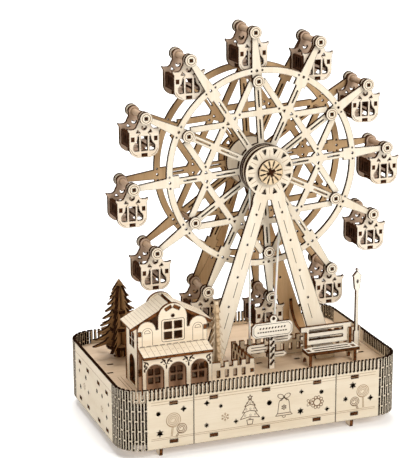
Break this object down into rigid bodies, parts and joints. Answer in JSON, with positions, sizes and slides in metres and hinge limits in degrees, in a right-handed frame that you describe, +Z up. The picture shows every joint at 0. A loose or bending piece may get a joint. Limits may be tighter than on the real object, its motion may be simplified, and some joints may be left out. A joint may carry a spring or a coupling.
{
  "type": "wooden ferris wheel puzzle",
  "caption": "Laser-cut plywood model of a ferris wheel with hanging gondolas on A-frame supports, over a walled base with a ticket house, trees, fences, sign, bench and lamp.",
  "frame": {"origin": "centre of the base on the ground, on the underside of the middle foot plate", "axes": "+X to the right seen from the front, +Y to the back (away from the house side), +Z up"},
  "size_m": [0.2886, 0.1929, 0.3549],
  "materials": {
    "plywood": "laser-cut plywood, pale faces, dark burnt edges, matt",
    "plywood_structure": "laser-cut plywood, matt",
    "plywood_wall": "laser-cut plywood, pale faces with engraved ornament, matt",
    "plywood_wheel": "laser-cut plywood, pale faces, dark burnt edges, matt",
    "plywood_gondola": "laser-cut plywood, pale faces, dark burnt edges, matt",
    "plywood_burnt": "laser-cut plywood in shade, much burnt edge, matt",
    "wood_rod": "turned or sawn wood, matt",
    "elastic_belt": "round elastic cord, milky and slightly glossy"
  },
  "bodies": {
    "base": {"base_floor": "plywood_structure", "deck": "plywood_structure", "wall_front": "plywood_wall", "wall_back": "plywood_wall", "wall_left": "plywood_wall", "wall_right": "plywood_wall", "feet": "plywood_structure", "bearing_ribs": "plywood_structure", "aframe_front": "plywood", "aframe_rear": "plywood", "leg_ties": "plywood_structure", "house_front": "plywood", "house_rear": "plywood", "house_arcade": "plywood", "house_sides": "plywood", "house_roof": "plywood", "house_canopy": "plywood", "tree_tall": "plywood_burnt", "tree_small": "plywood_burnt", "fence_front": "plywood", "fence_side": "plywood", "fence_back": "plywood", "sign_post": "plywood", "sign_boards": "plywood", "bench_back": "plywood", "bench_seat": "plywood", "bench_sides": "plywood", "lamp_post": "plywood", "drive_belt": "elastic_belt"},
    "wheel": {"wheel_disc_front": "plywood_wheel", "wheel_disc_rear": "plywood_wheel", "main_shaft": "wood_rod", "pulley_flanges": "plywood_wheel", "pulley_core": "plywood_wheel", "hub_discs": "plywood_wheel", "hub_spacers": "plywood_wheel", "shaft_caps": "plywood_wheel", "tie_rods": "wood_rod", "tie_washers": "plywood_wheel", "gondola_axles": "wood_rod", "axle_washers": "plywood_wheel"},
    "crank": {"crank_shaft": "wood_rod", "crank_pulley": "plywood", "crank_arm": "plywood", "crank_pin": "wood_rod", "crank_washers": "plywood"},
    "grip": {"crank_grip": "plywood"},
    "gondola_01": {"gondola_01": "plywood_gondola"},
    "gondola_02": {"gondola_02": "plywood_gondola"},
    "gondola_03": {"gondola_03": "plywood_gondola"},
    "gondola_04": {"gondola_04": "plywood_gondola"},
    "gondola_05": {"gondola_05": "plywood_gondola"},
    "gondola_06": {"gondola_06": "plywood_gondola"},
    "gondola_07": {"gondola_07": "plywood_gondola"},
    "gondola_08": {"gondola_08": "plywood_gondola"},
    "gondola_09": {"gondola_09": "plywood_gondola"},
    "gondola_10": {"gondola_10": "plywood_gondola"},
    "gondola_11": {"gondola_11": "plywood_gondola"},
    "gondola_12": {"gondola_12": "plywood_gondola"}
  },
  "joints": [
    {"name": "wheel_spin", "type": "hinge", "parent": "base", "child": "wheel", "pos_m": [0.0229, 0, 0.2297], "axis": [0, 1, 0], "continuous": true},
    {"name": "gondola_01_swing", "type": "hinge", "parent": "wheel", "child": "gondola_01", "pos_m": [0.01447, 0, 0.3494], "axis": [0, 1, 0], "continuous": true},
    {"name": "gondola_02_swing", "type": "hinge", "parent": "wheel", "child": "gondola_02", "pos_m": [0.07545, 0, 0.33758], "axis": [0, 1, 0], "continuous": true},
    {"name": "gondola_03_swing", "type": "hinge", "parent": "wheel", "child": "gondola_03", "pos_m": [0.12235, 0, 0.29685], "axis": [0, 1, 0], "continuous": true},
    {"name": "gondola_04_swing", "type": "hinge", "parent": "wheel", "child": "gondola_04", "pos_m": [0.1426, 0, 0.23813], "axis": [0, 1, 0], "continuous": true},
    {"name": "gondola_05_swing", "type": "hinge", "parent": "wheel", "child": "gondola_05", "pos_m": [0.13078, 0, 0.17715], "axis": [0, 1, 0], "continuous": true},
    {"name": "gondola_06_swing", "type": "hinge", "parent": "wheel", "child": "gondola_06", "pos_m": [0.09005, 0, 0.13025], "axis": [0, 1, 0], "continuous": true},
    {"name": "gondola_07_swing", "type": "hinge", "parent": "wheel", "child": "gondola_07", "pos_m": [0.03133, 0, 0.11], "axis": [0, 1, 0], "continuous": true},
    {"name": "gondola_08_swing", "type": "hinge", "parent": "wheel", "child": "gondola_08", "pos_m": [-0.02965, 0, 0.12182], "axis": [0, 1, 0], "continuous": true},
    {"name": "gondola_09_swing", "type": "hinge", "parent": "wheel", "child": "gondola_09", "pos_m": [-0.07655, 0, 0.16254], "axis": [0, 1, 0], "continuous": true},
    {"name": "gondola_10_swing", "type": "hinge", "parent": "wheel", "child": "gondola_10", "pos_m": [-0.0968, 0, 0.22127], "axis": [0, 1, 0], "continuous": true},
    {"name": "gondola_11_swing", "type": "hinge", "parent": "wheel", "child": "gondola_11", "pos_m": [-0.08498, 0, 0.28225], "axis": [0, 1, 0], "continuous": true},
    {"name": "gondola_12_swing", "type": "hinge", "parent": "wheel", "child": "gondola_12", "pos_m": [-0.04426, 0, 0.32915], "axis": [0, 1, 0], "continuous": true},
    {"name": "crank_spin", "type": "hinge", "parent": "base", "child": "crank", "pos_m": [0.0182, 0, 0.0314], "axis": [0, 1, 0], "continuous": true},
    {"name": "grip_spin", "type": "hinge", "parent": "crank", "child": "grip", "pos_m": [0.0182, 0, 0.0514], "axis": [0, 1, 0], "continuous": true}
  ],
  "couplings": [
    {"joint": "gondola_01_swing", "follows": "wheel_spin", "ratio": -1},
    {"joint": "gondola_02_swing", "follows": "wheel_spin", "ratio": -1},
    {"joint": "gondola_03_swing", "follows": "wheel_spin", "ratio": -1},
    {"joint": "gondola_04_swing", "follows": "wheel_spin", "ratio": -1},
    {"joint": "gondola_05_swing", "follows": "wheel_spin", "ratio": -1},
    {"joint": "gondola_06_swing", "follows": "wheel_spin", "ratio": -1},
    {"joint": "gondola_07_swing", "follows": "wheel_spin", "ratio": -1},
    {"joint": "gondola_08_swing", "follows": "wheel_spin", "ratio": -1},
    {"joint": "gondola_09_swing", "follows": "wheel_spin", "ratio": -1},
    {"joint": "gondola_10_swing", "follows": "wheel_spin", "ratio": -1},
    {"joint": "gondola_11_swing", "follows": "wheel_spin", "ratio": -1},
    {"joint": "gondola_12_swing", "follows": "wheel_spin", "ratio": -1},
    {"joint": "crank_spin", "follows": "wheel_spin", "ratio": 1.4711}
  ]
}
